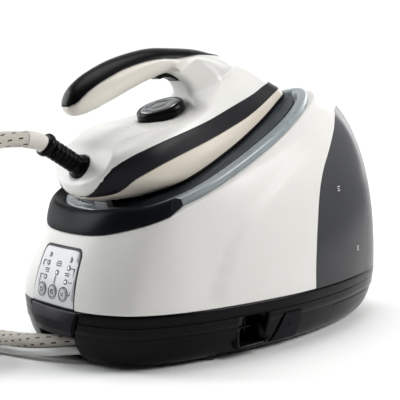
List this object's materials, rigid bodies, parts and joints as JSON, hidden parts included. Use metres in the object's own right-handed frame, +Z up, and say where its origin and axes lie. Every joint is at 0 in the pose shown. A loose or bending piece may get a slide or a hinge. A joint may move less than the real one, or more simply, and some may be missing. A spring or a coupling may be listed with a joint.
{
  "type": "steam generator iron",
  "caption": "Steam iron resting on a slanted tray over a base station with a boiler, a removable water tank, a control panel, and a braided steam hose between them.",
  "frame": {"origin": "on the surface the station stands on, under the middle of its length and width", "axes": "+X from the control panel to the water tank, +Y to the left seen from the panel, +Z up"},
  "size_m": [0.6608, 0.2502, 0.274],
  "materials": {
    "white": "moulded, satin gloss",
    "cream": "moulded, satin",
    "black": "moulded, glossy",
    "soft_black": "soft-touch overmould",
    "anthracite": "moulded, dark metallic grey",
    "smoke": "smoke-tinted moulded tank",
    "tray_grey": "moulded, fine grain",
    "grey": "moulded, matt",
    "steel": "polished steel",
    "aluminium": "cast and machined",
    "brass": "machined",
    "board_green": "printed board with solder mask",
    "rubber": "matt",
    "hose": "braided cotton over a rubber hose"
  },
  "bodies": {
    "base": {"lower_housing": "black", "body_shell": "white", "front_saddle": "black", "rest_tray": "tray_grey", "rest_mat": "rubber", "control_panel": "grey", "indicator_board": "board_green", "foot_front_left": "rubber", "foot_front_right": "rubber", "foot_rear_left": "rubber", "foot_rear_right": "rubber", "hose_clip": "anthracite", "boiler": "steel", "boiler_heater": "aluminium", "boiler_thermostat": "aluminium", "safety_valve": "brass", "pump": "grey", "steam_valve": "brass", "tank_valve_seat": "black", "control_board": "board_green", "hose_gland": "black", "cable_gland": "black", "steam_hose_at_base": "hose", "steam_hose_coil": "hose", "mains_cable": "grey", "mains_cable_coil": "grey", "mains_plug": "grey"},
    "tank": {"water_tank": "smoke", "tank_valve": "black"},
    "fill_flap": {"fill_flap": "anthracite"},
    "iron": {"soleplate": "steel", "steam_chamber": "aluminium", "heat_shield": "cream", "trim_band": "anthracite", "upper_body": "white", "handle_shell": "cream", "handle_grip": "soft_black", "trigger_switch": "black", "thermostat": "brass", "hose_guard": "black", "steam_hose_at_iron": "hose"},
    "dial": {"temperature_dial": "black", "dial_insert": "aluminium", "thermostat_shaft": "steel"},
    "trigger": {"steam_trigger": "soft_black"},
    "eco_button": {"button_eco": "white"},
    "power_button": {"button_power": "white"},
    "descale_button": {"button_descale": "white"},
    "cover": {"descaling_cover": "anthracite"},
    "cap": {"boiler_cap": "grey"}
  },
  "joints": [
    {"name": "iron_lift", "type": "slide", "parent": "base", "child": "iron", "axis": [-0.3746, 0, 0.9272], "range_m": [0, 0.12]},
    {"name": "tank_pull", "type": "slide", "parent": "base", "child": "tank", "axis": [1, 0, 0], "range_m": [0, 0.15]},
    {"name": "flap_hinge", "type": "hinge", "parent": "tank", "child": "fill_flap", "pos_m": [0.1868, 0, 0.168], "axis": [0, 1, 0], "range_deg": [0, 100]},
    {"name": "dial_turn", "type": "hinge", "parent": "iron", "child": "dial", "pos_m": [-0.06807, 0, 0.21427], "axis": [-0.3746, 0, 0.9272], "range_deg": [-150, 150]},
    {"name": "trigger_pull", "type": "hinge", "parent": "iron", "child": "trigger", "pos_m": [-0.07609, 0, 0.25147], "axis": [0, -1, 0], "range_deg": [0, 3.5], "stiffness_Nm_per_rad": 0.8, "springref_deg": -8.59},
    {"name": "eco_press", "type": "slide", "parent": "base", "child": "eco_button", "axis": [1, 0, 0], "range_m": [0, 0.001], "stiffness_N_per_m": 400, "springref_m": -0.001},
    {"name": "power_press", "type": "slide", "parent": "base", "child": "power_button", "axis": [1, 0, 0], "range_m": [0, 0.001], "stiffness_N_per_m": 400, "springref_m": -0.001},
    {"name": "descale_press", "type": "slide", "parent": "base", "child": "descale_button", "axis": [1, 0, 0], "range_m": [0, 0.001], "stiffness_N_per_m": 400, "springref_m": -0.001},
    {"name": "cover_hinge", "type": "hinge", "parent": "base", "child": "cover", "pos_m": [-0.189, 0, 0.025], "axis": [0, -1, 0], "range_deg": [0, 75]},
    {"name": "cap_turn", "type": "hinge", "parent": "base", "child": "cap", "pos_m": [-0.17, 0, 0.04], "axis": [1, 0, 0], "range_deg": [0, 90]}
  ]
}
